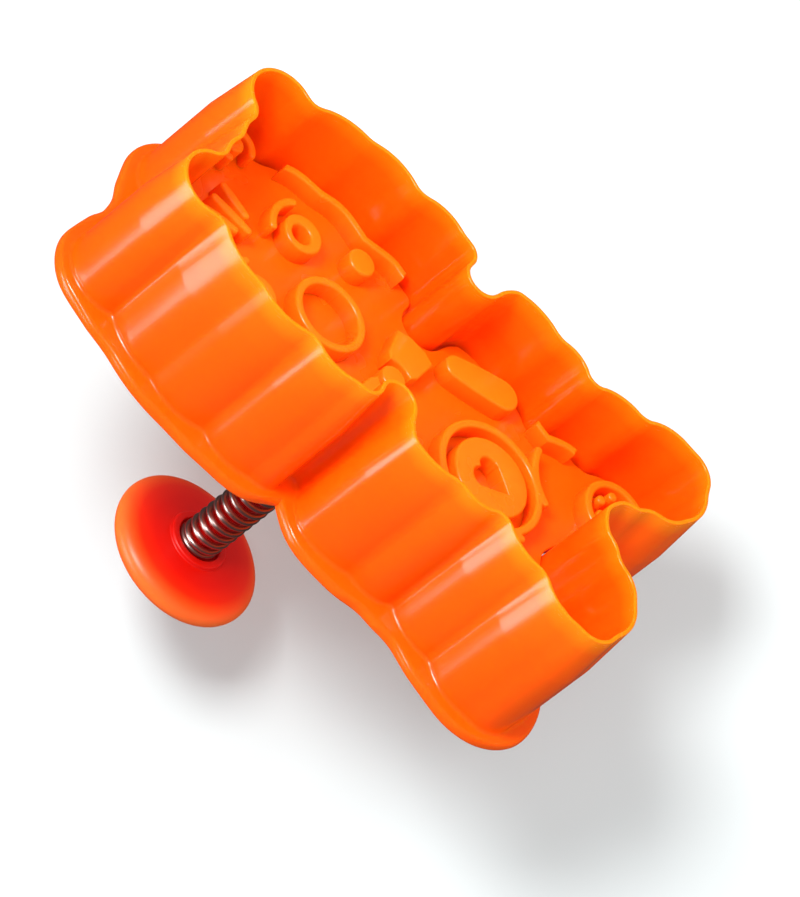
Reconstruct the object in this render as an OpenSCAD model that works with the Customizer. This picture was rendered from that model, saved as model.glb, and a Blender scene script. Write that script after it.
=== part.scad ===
// Plunger cutter: a deep cutting wall in the outline of a teddy bear, with a sprung stamp
// plate inside it that a round knob pushes forward.
// The cutting edge lies on z = 0, the knob is on top, and y runs from the feet to the ears.

/* [Figure] */
// Height of the figure over the wall, from the feet to the ears
figure_h = 92; // [78:1:122]
// Width of the figure over the wall, across the feet
figure_w = 50; // [45:1:66]

/* [Wall and flange] */
// Height from the cutting edge to the back of the flange
wall_h = 27; // [24:0.5:36]
// Thickness of the wall at the flange
wall_t = 1.7; // [1.2:0.1:2.2]
// Thickness of the cutting edge
edge_t = 0.6; // [0.5:0.1:1]
// Height of the stretch that thins towards the cutting edge
taper_h = 10; // [4:0.5:14]
// Width of the flange outside the wall
flange_w = 3; // [2:0.1:3.6]
// Thickness of the flange
flange_t = 2; // [1.4:0.1:3]

/* [Bridge and guide] */
// Width of the bridge across the back
bridge_w = 12; // [10.5:0.5:15]
// Thickness of the bridge
bridge_t = 2.4; // [1.8:0.1:3.5]
// Depth of the bridge below the back of the flange
bridge_drop = 0.5; // [0.2:0.1:1]
// Wall of the guide around the spring's seat
guide_wall = 1; // [0.8:0.1:2]
// Length of the guide inside the back of the flange
guide_len = 7; // [5.5:0.5:8]
// Height of the guide's collar above the back of the flange
collar_h = 1.5; // [0.5:0.1:3]
// Depth of the spring's seat in the collar
seat_depth = 4; // [1:0.5:5]
// Radial clearance of the stem in the guide
stem_clearance = 0.08; // [0.05:0.01:0.1]

/* [Stamp plate] */
// Depth of the relief behind the cutting edge at rest
stamp_depth = 11; // [10:0.5:12]
// Height of the relief above the plate
relief_h = 3; // [1.4:0.1:3.4]
// Thickness of the plate
plate_t = 2; // [1.4:0.1:2.2]
// Clearance between the plate and the wall
plate_gap = 0.5; // [0.3:0.1:0.9]
// Width of the raised lines
line_w = 1.3; // [0.9:0.1:1.6]
// Thinnest sliver of relief that is kept
sliver = 0.1; // [0.05:0.05:0.3]
// Height of the stiffening ribs on the back of the plate
rib_h = 2; // [1:0.1:2.4]
// Thickness of those ribs
rib_t = 1.4; // [1:0.1:2]
// Wall of the boss around the stem
boss_wall = 2.2; // [1.4:0.1:3]
// Floor between the stem's end and the plate
socket_floor = 0.6; // [0.4:0.1:1]
// Gap between the boss and the guide, which stop the plunger at rest
stop_gap = 0.3; // [0.2:0.1:0.6]

/* [Stem and spring] */
// Radius of the stem
stem_r = 2; // [1.8:0.05:2.2]
// Radius of the spring wire
wire_r = 0.5; // [0.4:0.05:0.55]
// Clearance between the stem and the coils, and between the coils and their seats
coil_clearance = 0.3; // [0.2:0.05:0.5]
// Number of coils
coil_count = 17; // [12:1:22]
// Pitch of the coils at rest
coil_pitch = 1.8; // [1.6:0.05:2.2]

/* [Knob] */
// Radius of the knob
knob_r = 12.3; // [11:0.1:15]
// Height from the knob's underside to its widest ring
knob_swell = 3.6; // [3.2:0.1:5]
// Radius of the rounding at the widest ring
knob_edge_r = 2; // [1.6:0.1:2.4]
// Thickness of the knob's floor
knob_floor = 1.8; // [1.2:0.1:2]
// Depth of the spring's seat in the knob
knob_seat = 1; // [0.6:0.1:1.4]
// Width of the raised collar round that seat
knob_collar_w = 1.25; // [0.8:0.05:2]
// Height of that collar
knob_collar_h = 0.7; // [0.3:0.1:1]
// Depth of the stem's socket above that seat
knob_socket = 2; // [1.5:0.1:3]
// Thickness of the web that the screw clamps
knob_web = 1.2; // [0.8:0.1:1.6]
// Thickness of the cap
cap_t = 1.4; // [1:0.1:1.6]
// Rise of the cap's dome
cap_rise = 2.4; // [2:0.1:4]
// Clearance round the cap
cap_gap = 0.1; // [0.05:0.05:0.2]
// Width of the knob's rim round the cap
rim_land = 0.4; // [0.2:0.1:0.8]
// Width of the ledge that the cap rests on
cap_ledge = 0.9; // [0.5:0.1:1.2]

/* [Screw] */
// Radius of the screw's shank
screw_r = 1.1; // [0.9:0.05:1.3]
// Radius of the screw's head
screw_head_r = 2.3; // [2:0.1:2.8]
// Height of the screw's head
screw_head_h = 1.3; // [1:0.1:1.5]
// Length of the shank below the head
screw_len = 10; // [7:0.5:14]
// Width of the slots of the cross in the head
slot_w = 0.6; // [0.4:0.1:0.8]
// Depth of those slots
slot_depth = 0.8; // [0.5:0.1:0.9]

/* [Hidden] */
$fn = 64;

plastic = [1, 0.45, 0.05];
knob_plastic = [0.93, 0.2, 0.06];
steel = [0.72, 0.72, 0.74];

// Right-hand half of the figure, from the crown to between the feet. Each row is where a
// tuft of fur starts and how far the arc to the next row swells outwards, or inwards where
// that is negative.
TUFTS = [
    [0, 39.6, 0.5], [5.2, 39.8, 6.8], [16.6, 33.4, 1.1], [20.2, 24.2, 1.3],
    [20, 14.2, 1.2], [20.2, 5.4, 1.9], [15, 1.7, -0.9], [15, -1.4, 0.5], [20, -4.2, 1],
    [19.6, -13.6, 1.2], [17.8, -20.8, 1.1], [20.4, -29.4, 1.2], [23.2, -37.8, 1.8],
    [18, -44, 1.2], [9.6, -43.6, 1], [5.2, -38.2, 0.5], [2.6, -34.6, 0],
    [0, -33.4, 0]
];
ARC_STEPS = 14;      // points drawn along each tuft
OUTLINE_N = 280;     // points round the finished outline
FINE = 3;            // samples taken for each of those points
ROUND = 2;           // samples averaged on each side, which rounds the notches
FLANGE_EASE = 5;     // outline points averaged on each side for the flange
WALL_DRAFT = 0.12;   // how far the wall leans in where the taper starts
EASE_EDGE = 0.5;     // rounding of the flange's edge

// Points from a towards b along an arc that swells to the left by sag, or to the right
// where sag is negative.
function arc_points(a, b, sag, n) =
    let (chord = b - a, len = norm(chord), left = [-chord.y, chord.x] / len)
    sag == 0
    ? [for (i = [0:n - 1]) a + chord * i / n]
    : let (
        r = (len * len / 4 + sag * sag) / (2 * sag),
        centre = (a + b) / 2 + left * (sag - r),
        first = atan2(a.y - centre.y, a.x - centre.x),
        sweep = 4 * atan(2 * sag / len)
    )
    [for (i = [0:n - 1]) centre + abs(r) * [cos(first - sweep * i / n), sin(first - sweep * i / n)]];

function flat(row) = [row.x, row.y];
function mean(points) = [for (p = points) 1] * points / len(points);
function unit(v) = v / norm(v);
function lifted(points, z) = [for (p = points) [p.x, p.y, z]];

half = [
    for (i = [0:len(TUFTS) - 2])
        each arc_points(flat(TUFTS[i]), flat(TUFTS[i + 1]), TUFTS[i][2], ARC_STEPS)
];
drawn = concat(
    half,
    [flat(TUFTS[len(TUFTS) - 1])],
    [for (i = [len(half) - 1:-1:1]) [-half[i].x, half[i].y]]
);
drawn_w = 2 * max([for (p = drawn) p.x]);
drawn_top = max([for (p = drawn) p.y]);
drawn_foot = min([for (p = drawn) p.y]);
drawn_mid = (drawn_top + drawn_foot) / 2;
scale_x = figure_w / drawn_w;
scale_y = figure_h / (drawn_top - drawn_foot);

// A point of the drawing at the figure's real size.
function at(p) = [p.x * scale_x, (p.y - drawn_mid) * scale_y];

sized = [for (p = drawn) at(p)];
n_sized = len(sized);
run = [
    for (
        i = 0, s = 0;
        i <= n_sized;
        s = s + norm(sized[(i + 1) % n_sized] - sized[i % n_sized]), i = i + 1
    ) s
];
run_x = [for (i = [0:n_sized]) [run[i], sized[i % n_sized].x]];
run_y = [for (i = [0:n_sized]) [run[i], sized[i % n_sized].y]];
fine_n = OUTLINE_N * FINE;
fine = [
    for (i = [0:fine_n - 1])
        let (s = run[n_sized] * i / fine_n) [lookup(s, run_x), lookup(s, run_y)]
];

// The outline of the wall's outer face, clockwise from the crown.
outline = [
    for (i = [0:OUTLINE_N - 1])
        mean([for (k = [-ROUND:ROUND]) fine[(i * FINE + k + fine_n) % fine_n]])
];

function around(list, i) = list[(i + OUTLINE_N) % OUTLINE_N];

outward = [
    for (i = [0:OUTLINE_N - 1])
        let (t = around(outline, i + 1) - around(outline, i - 1)) unit([-t.y, t.x])
];
function eased(list) = [
    for (i = [0:OUTLINE_N - 1])
        mean([for (k = [-FLANGE_EASE:FLANGE_EASE]) around(list, i + k)])
];
// The outline moved inwards by d.
function inset(d) = [for (i = [0:OUTLINE_N - 1]) outline[i] - d * outward[i]];

calm = eased(outward);
// The flange's edge, drawn back by d.
function flange_line(d) = eased([
    for (i = [0:OUTLINE_N - 1]) outline[i] + (flange_w - d) * unit(calm[i])
]);

// A ring-shaped solid through closed loops of equal count, the last joined to the first.
module ring_loft(loops) {
    m = len(loops);
    n = len(loops[0]);
    polyhedron(
        points = [for (l = loops) each l],
        faces = [
            for (j = [0:m - 1], i = [0:n - 1])
                let (
                    i2 = (i + 1) % n,
                    j2 = (j + 1) % m,
                    a = j * n + i,
                    b = j * n + i2,
                    c = j2 * n + i2,
                    d = j2 * n + i
                )
                each [[a, b, c], [a, c, d]]
        ],
        convexity = 10
    );
}

guide_z = wall_h - guide_len;
collar_z = wall_h + collar_h;
seat_z = collar_z - seat_depth;
coil_r = stem_r + coil_clearance + wire_r;
seat_r = coil_r + wire_r + coil_clearance;
guide_r = seat_r + guide_wall;
bore_r = stem_r + stem_clearance;
plate_z = stamp_depth + relief_h;
plate_back = plate_z + plate_t;
plate_inset = wall_t + plate_gap;
boss_r = stem_r + boss_wall;
boss_z = guide_z - stop_gap;
socket_z = plate_back + socket_floor;
rib_top = min(plate_back + rib_h, boss_z);

// The wire leaves its seat straight, for its own diameter, and bends into the first coil.
wire_d = 2 * wire_r;
bend_r = 0.6 * wire_d;
end_len = wire_d + bend_r;
spring_len = coil_count * coil_pitch + 2 * end_len;
travel = coil_count * (coil_pitch - wire_d);

knob_z = seat_z + spring_len - knob_seat;
rim_z = knob_z + knob_swell;
rim_r = knob_r - knob_edge_r;
knob_top = rim_z + knob_edge_r;
stem_top = knob_z + knob_seat + knob_socket;
web_top = stem_top + knob_web;
hub_r = seat_r + knob_collar_w;
cap_r = rim_r - rim_land;
over = 0.01;         // how far a cut runs past a face

// Shell: wall, flange, bridge and guide are one moulding.

module wall_and_flange() {
    ring_loft([
        lifted(inset(wall_t), 0),
        lifted(inset(wall_t - edge_t), 0),
        lifted(inset(WALL_DRAFT), taper_h),
        lifted(outline, wall_h - flange_t),
        lifted(flange_line(EASE_EDGE), wall_h - flange_t),
        lifted(flange_line(0), wall_h - flange_t + EASE_EDGE),
        lifted(flange_line(0), wall_h - EASE_EDGE),
        lifted(flange_line(EASE_EDGE), wall_h),
        lifted(inset(wall_t), wall_h)
    ]);
}

// A band across the figure from the middle of one wall to the middle of the other.
module across(w, z0, z1) {
    intersection() {
        translate([0, 0, z0]) linear_extrude(z1 - z0) polygon(inset(wall_t / 2));
        translate([-figure_w, -w / 2, z0 - over]) cube([2 * figure_w, w, z1 - z0 + 2 * over]);
    }
}

module cutter_shell() {
    bridge_z = wall_h - bridge_drop - bridge_t;
    color(plastic)
    difference() {
        union() {
            wall_and_flange();
            across(bridge_w, bridge_z, bridge_z + bridge_t);
            across(rib_t, guide_z + stop_gap, bridge_z + over);
            translate([0, 0, guide_z]) cylinder(r = guide_r, h = collar_z - guide_z);
        }
        translate([0, 0, guide_z - over]) cylinder(r = bore_r, h = collar_z - guide_z + 2 * over);
        translate([0, 0, seat_z]) cylinder(r = seat_r, h = seat_depth + over);
    }
}

// Stamp plate: the relief is drawn at the drawing's scale and raised from the plate.

// A raised line along an arc, with round ends.
module band(r, start, end) {
    steps = 8;
    reach = 2 * r + line_w;
    intersection() {
        difference() {
            circle(r = r + line_w / 2);
            circle(r = r - line_w / 2);
        }
        polygon(concat(
            [[0, 0]],
            [
                for (k = [0:steps])
                    let (a = start + (end - start) * k / steps) reach * [cos(a), sin(a)]
            ]
        ));
    }
    for (a = [start, end]) translate(r * [cos(a), sin(a)]) circle(d = line_w);
}

// A raised straight line with round ends.
module stroke(a, b) {
    d = b - a;
    translate(a) rotate(atan2(d.y, d.x)) translate([0, -line_w / 2]) square([norm(d), line_w]);
    for (p = [a, b]) translate(p) circle(d = line_w);
}

module raised_ring(r) {
    difference() {
        circle(r = r);
        circle(r = r - line_w);
    }
}

module both_sides() {
    children();
    mirror([1, 0]) children();
}

EAR = at([11, 36.8]);
EYE = at([7.8, 21.8]);
MUZZLE = at([0, 12.2]);
NOSE = at([0, 14.2]);
CHEEK = at([12.6, 13]);
CROWN = at([0, 35]);
BOW = at([0, 0]);
SHOULDER = at([11.4, -6.4]);
PAW = at([14.4, -13.8]);
TUMMY = at([0, -19]);
THIGH = at([12.4, -31.6]);
SOLE = at([13.6, -36.6]);
ear_r = 3;
eye_r = 3.3;
muzzle_r = 6.2;
tummy_r = 9.4;
sole_r = 5.7;
fur_inset = 1;       // distance of the fur line from the plate's edge

module face() {
    both_sides() {
        translate(EAR) band(ear_r, -70, 190);
        translate(EAR) circle(r = ear_r / 2);
        translate(EYE) difference() {
            circle(r = eye_r);
            translate([-0.4, 0.2]) circle(r = eye_r / 2);
        }
        translate(EYE) band(eye_r + 2, 48, 128);
        translate(CHEEK) circle(r = 2.3);
        translate(MUZZLE + [1.6, -0.8]) band(1.6, 180, 330);
        stroke(CROWN + [3.2, -0.6], CROWN + [2, -5.6]);
    }
    stroke(CROWN + [0, -0.6], CROWN + [0, -7.2]);
    translate(MUZZLE) raised_ring(muzzle_r);
    translate(NOSE) scale([1.3, 1]) circle(r = 1.7);
    stroke(NOSE, MUZZLE - [0, 0.8]);
}

module bow() {
    edge = [[1.2, 1.2], [3.6, 2.9], [8.4, 3.6], [9.3, 1.6]];
    difference() {
        translate(BOW) both_sides() {
            polygon(concat(edge, [for (k = [len(edge) - 1:-1:0]) [edge[k].x, -edge[k].y]]));
        }
        translate(BOW) circle(r = 3.1);
    }
    translate(BOW) circle(r = 2.1);
}

module arms() {
    both_sides() {
        hull() {
            translate(SHOULDER) circle(r = 2.1);
            translate(PAW) circle(r = 2.7);
        }
    }
}

module tummy() {
    heart = 1.7;
    translate(TUMMY) raised_ring(tummy_r);
    translate(TUMMY) difference() {
        circle(r = tummy_r - 2.2 * line_w);
        both_sides() translate([heart * 0.7, heart * 0.6]) circle(r = heart);
        polygon([[-heart * 1.6, 0.1], [heart * 1.6, 0.1], [0, -heart * 2]]);
    }
}

module feet() {
    both_sides() {
        translate(SOLE) raised_ring(sole_r);
        translate(SOLE - [0, 1.3]) scale([1.15, 1]) circle(r = 2);
        for (a = [38, 90, 142]) translate(SOLE + 3 * [cos(a), sin(a)]) circle(r = 0.8);
        translate(THIGH) band(9.6, 96, 152);
    }
}

// A raised line that follows the plate's edge between two heights of the drawing.
module fur_line(low, high) {
    low_y = at([0, low]).y;
    high_y = at([0, high]).y;
    intersection() {
        difference() {
            polygon(thinned(inset(plate_inset + fur_inset)));
            polygon(thinned(inset(plate_inset + fur_inset + line_w)));
        }
        translate([-figure_w, low_y]) square([2 * figure_w, high_y - low_y]);
    }
}

module relief() {
    $fn = 40;
    offset(delta = sliver / 2) offset(delta = -sliver / 2) {
        face();
        bow();
        arms();
        tummy();
        feet();
        fur_line(7, 29.5);
        fur_line(-27, -20);
    }
}

// Every other point of a loop.
function thinned(loop) = [for (i = [0:2:len(loop) - 1]) loop[i]];

module plate_shape() {
    polygon(inset(plate_inset));
}

module stamp_plate() {
    rib_rise = rib_top - plate_back + over;
    color(plastic)
    difference() {
        union() {
            translate([0, 0, plate_z]) linear_extrude(plate_t) plate_shape();
            translate([0, 0, stamp_depth]) linear_extrude(relief_h + over) relief();
            translate([0, 0, plate_back - over]) {
                translate([-rib_t / 2, -figure_h / 3, 0]) cube([rib_t, 2 * figure_h / 3, rib_rise]);
                translate([-figure_w / 5, -rib_t / 2, 0]) cube([2 * figure_w / 5, rib_t, rib_rise]);
                cylinder(r = boss_r, h = boss_z - plate_back + over);
            }
        }
        translate([0, 0, socket_z]) cylinder(r = stem_r, h = boss_z - socket_z + over);
    }
}

module plunger_stem() {
    color(knob_plastic)
    difference() {
        translate([0, 0, socket_z]) cylinder(r = stem_r, h = stem_top - socket_z);
        translate([0, 0, web_top - screw_len]) cylinder(r = screw_r, h = screw_len);
    }
}

// Spring: one wire, swept along its route with six sides and eight rings to a coil.

RINGS = 8;
SIDES = 6;
BEND_RINGS = 3;

// The route's lower end: a straight lead, then a bend from upright to level.
function lead(a0, z0) = [
    for (k = [0:BEND_RINGS])
        let (
            t = 90 * k / BEND_RINGS,
            along = bend_r * (1 - cos(t)),
            a = a0 + along / coil_r * 180 / PI
        )
        [coil_r * cos(a), coil_r * sin(a), z0 + wire_d + bend_r * sin(t)]
];
bend_angle = bend_r / coil_r * 180 / PI;
first_lead = concat([[coil_r, 0, seat_z]], lead(0, seat_z));
coils = [
    for (k = [1:RINGS * coil_count - 1])
        let (a = bend_angle + 360 * k / RINGS)
        [coil_r * cos(a), coil_r * sin(a), seat_z + end_len + coil_pitch * k / RINGS]
];
// The upper end is the lower one turned over about the x axis and lifted.
last_turn = 360 * coil_count + 2 * bend_angle;
function turned(p) =
    let (a = last_turn - atan2(p.y, p.x))
    [coil_r * cos(a), coil_r * sin(a), 2 * seat_z + spring_len - p.z];
route = concat(first_lead, coils, [for (i = [len(first_lead) - 1:-1:0]) turned(first_lead[i])]);
n_route = len(route);

function tangent(i) =
    i == 0 || i == n_route - 1 ? [0, 0, 1]
    : unit(unit(route[i + 1] - route[i]) + unit(route[i] - route[i - 1]));
// The ring round point i, one side of it kept towards the spring's axis.
function wire_ring(i) =
    let (
        t = tangent(i),
        radial = [route[i].x, route[i].y, 0],
        u = unit(radial - (radial * t) * t),
        v = cross(t, u)
    )
    [for (k = [0:SIDES - 1]) route[i] + wire_r * (cos(360 * k / SIDES) * u + sin(360 * k / SIDES) * v)];

module tube(rings) {
    n = len(rings);
    polyhedron(
        points = [for (r = rings) each r],
        faces = concat(
            [[for (k = [0:SIDES - 1]) k]],
            [[for (k = [SIDES - 1:-1:0]) (n - 1) * SIDES + k]],
            [
                for (j = [0:n - 2], k = [0:SIDES - 1])
                    let (
                        k2 = (k + 1) % SIDES,
                        a = j * SIDES + k,
                        b = j * SIDES + k2,
                        c = (j + 1) * SIDES + k2,
                        d = (j + 1) * SIDES + k
                    )
                    each [[a, c, b], [a, d, c]]
            ]
        ),
        convexity = 10
    );
}

// Least gap of the wire to itself, between points at least half a coil apart.
least_gap = min([
    for (i = [0:n_route - 1], j = [i + RINGS / 2:n_route - 1])
        if (j < n_route) norm(route[i] - route[j]) - wire_d
]);
echo(least_gap = least_gap, spring_len = spring_len, travel = travel);

module return_spring() {
    color(steel) tube([for (i = [0:n_route - 1]) wire_ring(i)]);
}

// Knob: a bowl on the stem's end, its cap resting on a ledge inside the rim.

dome_r = 41;         // radius of the knob's convex underside
UNDER_STEPS = 10;
RIM_STEPS = 12;
dome_centre = knob_z + knob_collar_h + sqrt(dome_r * dome_r - hub_r * hub_r);
// Height of the underside, or of the bowl's floor when lifted by d, at radius r.
function dome_z(r, d) = dome_centre - sqrt(pow(dome_r - d, 2) - r * r);

rim_start = -90 + atan(rim_r / (dome_centre - rim_z));
bowl_r = cap_r + cap_gap - cap_ledge;
ledge_z = knob_top - cap_t;

module knob_body() {
    rim_low = [rim_r, rim_z] + knob_edge_r * [cos(rim_start), sin(rim_start)];
    color(knob_plastic)
    rotate_extrude()
    polygon(concat(
        [[seat_r, knob_z], [hub_r, knob_z], [hub_r, knob_z + knob_collar_h]],
        [
            for (k = [1:UNDER_STEPS - 1])
                let (r = hub_r + (rim_low.x - hub_r) * k / UNDER_STEPS) [r, dome_z(r, 0)]
        ],
        [
            for (k = [0:RIM_STEPS])
                let (a = rim_start + (90 - rim_start) * k / RIM_STEPS)
                [rim_r, rim_z] + knob_edge_r * [cos(a), sin(a)]
        ],
        [
            [cap_r + cap_gap, knob_top], [cap_r + cap_gap, ledge_z], [bowl_r, ledge_z],
            [bowl_r, dome_z(bowl_r, knob_floor)], [hub_r, dome_z(hub_r, knob_floor)],
            [hub_r, web_top], [screw_r, web_top], [screw_r, stem_top], [stem_r, stem_top],
            [stem_r, knob_z + knob_seat], [seat_r, knob_z + knob_seat]
        ]
    ));
}

module knob_screw() {
    color(steel)
    difference() {
        union() {
            translate([0, 0, web_top]) cylinder(r = screw_head_r, h = screw_head_h);
            translate([0, 0, web_top - screw_len]) cylinder(r = screw_r, h = screw_len + over);
        }
        for (turn = [0, 90]) rotate(turn)
            translate([-screw_head_r * 0.6, -slot_w / 2, web_top + screw_head_h - slot_depth])
            cube([screw_head_r * 1.2, slot_w, slot_depth + over]);
    }
}

module knob_cap() {
    // The dome's radius follows from the cap's radius and its rise.
    r = (cap_r * cap_r + cap_rise * cap_rise) / (2 * cap_rise);
    centre = knob_top + cap_rise - r;
    function shell_z(x, d) = centre + sqrt(pow(r - d, 2) - x * x);
    inner_r = bowl_r;
    color(knob_plastic)
    rotate_extrude()
    polygon(concat(
        [for (k = [0:UNDER_STEPS]) let (x = cap_r * k / UNDER_STEPS) [x, shell_z(x, 0)]],
        [[cap_r, ledge_z], [inner_r, ledge_z]],
        [
            for (k = [UNDER_STEPS:-1:0])
                let (x = inner_r * k / UNDER_STEPS) [x, max(ledge_z + over, shell_z(x, cap_t))]
        ]
    ));
}

cutter_shell();
stamp_plate();
plunger_stem();
return_spring();
knob_body();
knob_screw();
knob_cap();
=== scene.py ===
"""Looks of a plunger cutter: a deep orange cutting wall in the outline of a teddy bear, a
relief stamp plate inside it, and a red-orange knob on a sprung stem.

Lengths are in metres, in the part's own frame: the cutting edge lies on z = 0, the knob is on
top, and y runs from the figure's feet to its ears.
"""

from __future__ import annotations

import logging
import math
from collections.abc import Callable, Sequence
from dataclasses import dataclass, field
from enum import Enum

import bmesh
import bpy
import numpy as np
from mathutils import Matrix, Vector
from mathutils.geometry import delaunay_2d_cdt


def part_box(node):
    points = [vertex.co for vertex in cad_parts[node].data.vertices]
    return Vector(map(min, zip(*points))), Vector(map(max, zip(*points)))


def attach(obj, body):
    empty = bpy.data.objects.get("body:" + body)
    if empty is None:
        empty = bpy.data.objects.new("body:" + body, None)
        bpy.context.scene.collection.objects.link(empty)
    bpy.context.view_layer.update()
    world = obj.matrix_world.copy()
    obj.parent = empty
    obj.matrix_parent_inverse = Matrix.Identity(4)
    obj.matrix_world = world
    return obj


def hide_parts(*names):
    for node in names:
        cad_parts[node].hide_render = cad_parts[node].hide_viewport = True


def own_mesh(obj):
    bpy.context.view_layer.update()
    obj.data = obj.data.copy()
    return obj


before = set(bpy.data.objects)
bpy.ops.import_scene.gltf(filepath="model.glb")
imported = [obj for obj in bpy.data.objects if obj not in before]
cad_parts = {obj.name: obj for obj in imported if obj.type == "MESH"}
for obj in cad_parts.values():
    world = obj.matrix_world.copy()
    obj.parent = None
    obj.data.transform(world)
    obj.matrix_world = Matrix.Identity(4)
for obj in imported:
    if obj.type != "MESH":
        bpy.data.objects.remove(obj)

log = logging.getLogger("plunger_cutter")

MM = 0.001
WELD = 1e-7
IMAGE_W = 800
IMAGE_H = 897

Point2 = tuple[float, float]


class Body(Enum):
    """The rigid bodies that pieces ride on."""

    CUTTER = "cutter"
    PLUNGER = "plunger"


class Slot(Enum):
    """The record's material slots by name; no piece here is given them."""

    ORANGE = "orange_plastic"
    KNOB = "knob_plastic"
    SPRING = "spring_steel"


# Node trees


def math_node(operation: str, turned: bool = False) -> Callable[..., Term]:
    """Makes a method of Term that adds one Math node.

    Args:
        operation: The node's operation.
        turned: Whether the method's own term comes last.

    Returns:
        The method.
    """

    def method(term: Term, *others: Term | float) -> Term:
        values = (*others, term) if turned else (term, *others)
        return term.wiring.node("ShaderNodeMath", {"operation": operation}, dict(enumerate(values)))

    return method


@dataclass(frozen=True)
class Term:
    """A value socket that takes part in Python arithmetic."""

    wiring: Wiring
    socket: bpy.types.NodeSocket

    __add__ = __radd__ = math_node("ADD")
    __mul__ = __rmul__ = math_node("MULTIPLY")
    __sub__ = math_node("SUBTRACT")
    __rsub__ = math_node("SUBTRACT", turned=True)
    __truediv__ = math_node("DIVIDE")
    at_least = math_node("MAXIMUM")
    at_most = math_node("MINIMUM")
    sine = math_node("SINE")
    cosine = math_node("COSINE")

    def clamped(self) -> Term:
        """self kept between 0 and 1."""
        return self.at_least(0.0).at_most(1.0)

    def rising(self, low: float, high: float) -> Term:
        """0 below low, 1 above high and a smooth rise between them.

        Args:
            low: Value at which the rise starts.
            high: Value at which it ends.

        Returns:
            The eased share.
        """
        return self.wiring.node(
            "ShaderNodeMapRange",
            {"interpolation_type": "SMOOTHSTEP"},
            {"Value": self, "From Min": low, "From Max": high, "To Min": 0.0, "To Max": 1.0},
        )


class Wiring:
    """A node tree that is built by calls, for shaders and for geometry."""

    def __init__(self, tree: bpy.types.NodeTree) -> None:
        """Starts on an empty tree.

        Args:
            tree: The tree that the nodes go into.
        """
        self.tree = tree
        self.tree.nodes.clear()

    def node(
        self,
        kind: str,
        settings: dict[str, object] | None = None,
        inputs: dict[str | int, object] | None = None,
        out: str | int = 0,
    ) -> Term:
        """Adds a node of any type.

        Args:
            kind: The node's type.
            settings: Its properties, and a ramp's stops under "stops", all set first.
            inputs: Values or terms by the name or the number of the input.
            out: Name or number of the output that is returned.

        Returns:
            The chosen output.
        """
        made = self.tree.nodes.new(kind)
        for key, value in (settings or {}).items():
            if key == "stops":
                self._stops(made.color_ramp, value)
            else:
                setattr(made, key, value)
        for key, value in (inputs or {}).items():
            self.feed(made.inputs[key], value)
        return Term(self, made.outputs[out])

    def feed(self, target: bpy.types.NodeSocket, value: object) -> None:
        """Links a term to an input, or writes a plain value to it."""
        if isinstance(value, Term):
            self.tree.links.new(value.socket, target)
        else:
            target.default_value = value

    @staticmethod
    def _stops(ramp: bpy.types.ColorRamp, stops: Sequence[tuple[float, Sequence[float]]]) -> None:
        """Writes a colour ramp's stops."""
        while len(ramp.elements) > len(stops):
            ramp.elements.remove(ramp.elements[-1])
        while len(ramp.elements) < len(stops):
            ramp.elements.new(0.5)
        for element, (place, colour) in zip(ramp.elements, stops):
            element.position = place
            element.color = (*colour, 1.0)


class ShaderWiring(Wiring):
    """The shader tree of one material."""

    def __init__(self, material: bpy.types.Material) -> None:
        """Empties a material's tree and adds its object coordinates."""
        material.use_nodes = True
        super().__init__(material.node_tree)
        self.place = self.node("ShaderNodeTexCoord", out="Object")

    def noise(self, scale: float, detail: float = 2.0, stretch: Sequence[float] = (1, 1, 1)) -> Term:
        """Smooth noise in object space.

        Args:
            scale: Waves per metre.
            detail: Octaves.
            stretch: Factor on each axis of the coordinates.

        Returns:
            The noise, about 0.5.
        """
        where = self.node("ShaderNodeMapping", inputs={"Vector": self.place, "Scale": stretch})
        return self.node(
            "ShaderNodeTexNoise", inputs={"Vector": where, "Scale": scale, "Detail": detail}, out="Fac"
        )

    def blend(self, share: Term | float, first: object, second: object) -> Term:
        """A colour between two others.

        Args:
            share: 0 gives the first colour and 1 the second.
            first: Colour or term.
            second: Colour or term.

        Returns:
            The mixed colour.
        """
        mixed = self.tree.nodes.new("ShaderNodeMix")
        mixed.data_type = "RGBA"
        self.feed(mixed.inputs[0], share)
        for number, colour in ((6, first), (7, second)):
            self.feed(mixed.inputs[number], colour if isinstance(colour, Term) else (*colour, 1.0))
        return Term(self, mixed.outputs[2])

    def height(self) -> Term:
        """The object's z coordinate."""
        return self.node("ShaderNodeSeparateXYZ", inputs={0: self.place}, out="Z")

    def reach(self) -> Term:
        """The distance from the object's z axis."""
        flat = self.node(
            "ShaderNodeVectorMath", {"operation": "MULTIPLY"}, {0: self.place, 1: (1.0, 1.0, 0.0)}
        )
        return self.node("ShaderNodeVectorMath", {"operation": "LENGTH"}, {0: flat}, "Value")

    def bump(self, relief: Term, distance: float) -> Term:
        """A normal from a relief whose height of 1 is a distance in metres."""
        inputs = {"Height": relief, "Distance": distance, "Strength": 1.0}
        return self.node("ShaderNodeBump", inputs=inputs, out="Normal")

    def finish(self, shader: Term) -> None:
        """Sends a shader to the material's output."""
        self.feed(self.tree.nodes.new("ShaderNodeOutputMaterial").inputs["Surface"], shader)


# Finishes


class Along(Enum):
    """What a moulding's colour changes with."""

    HEIGHT = "height"
    REACH = "reach"


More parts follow.
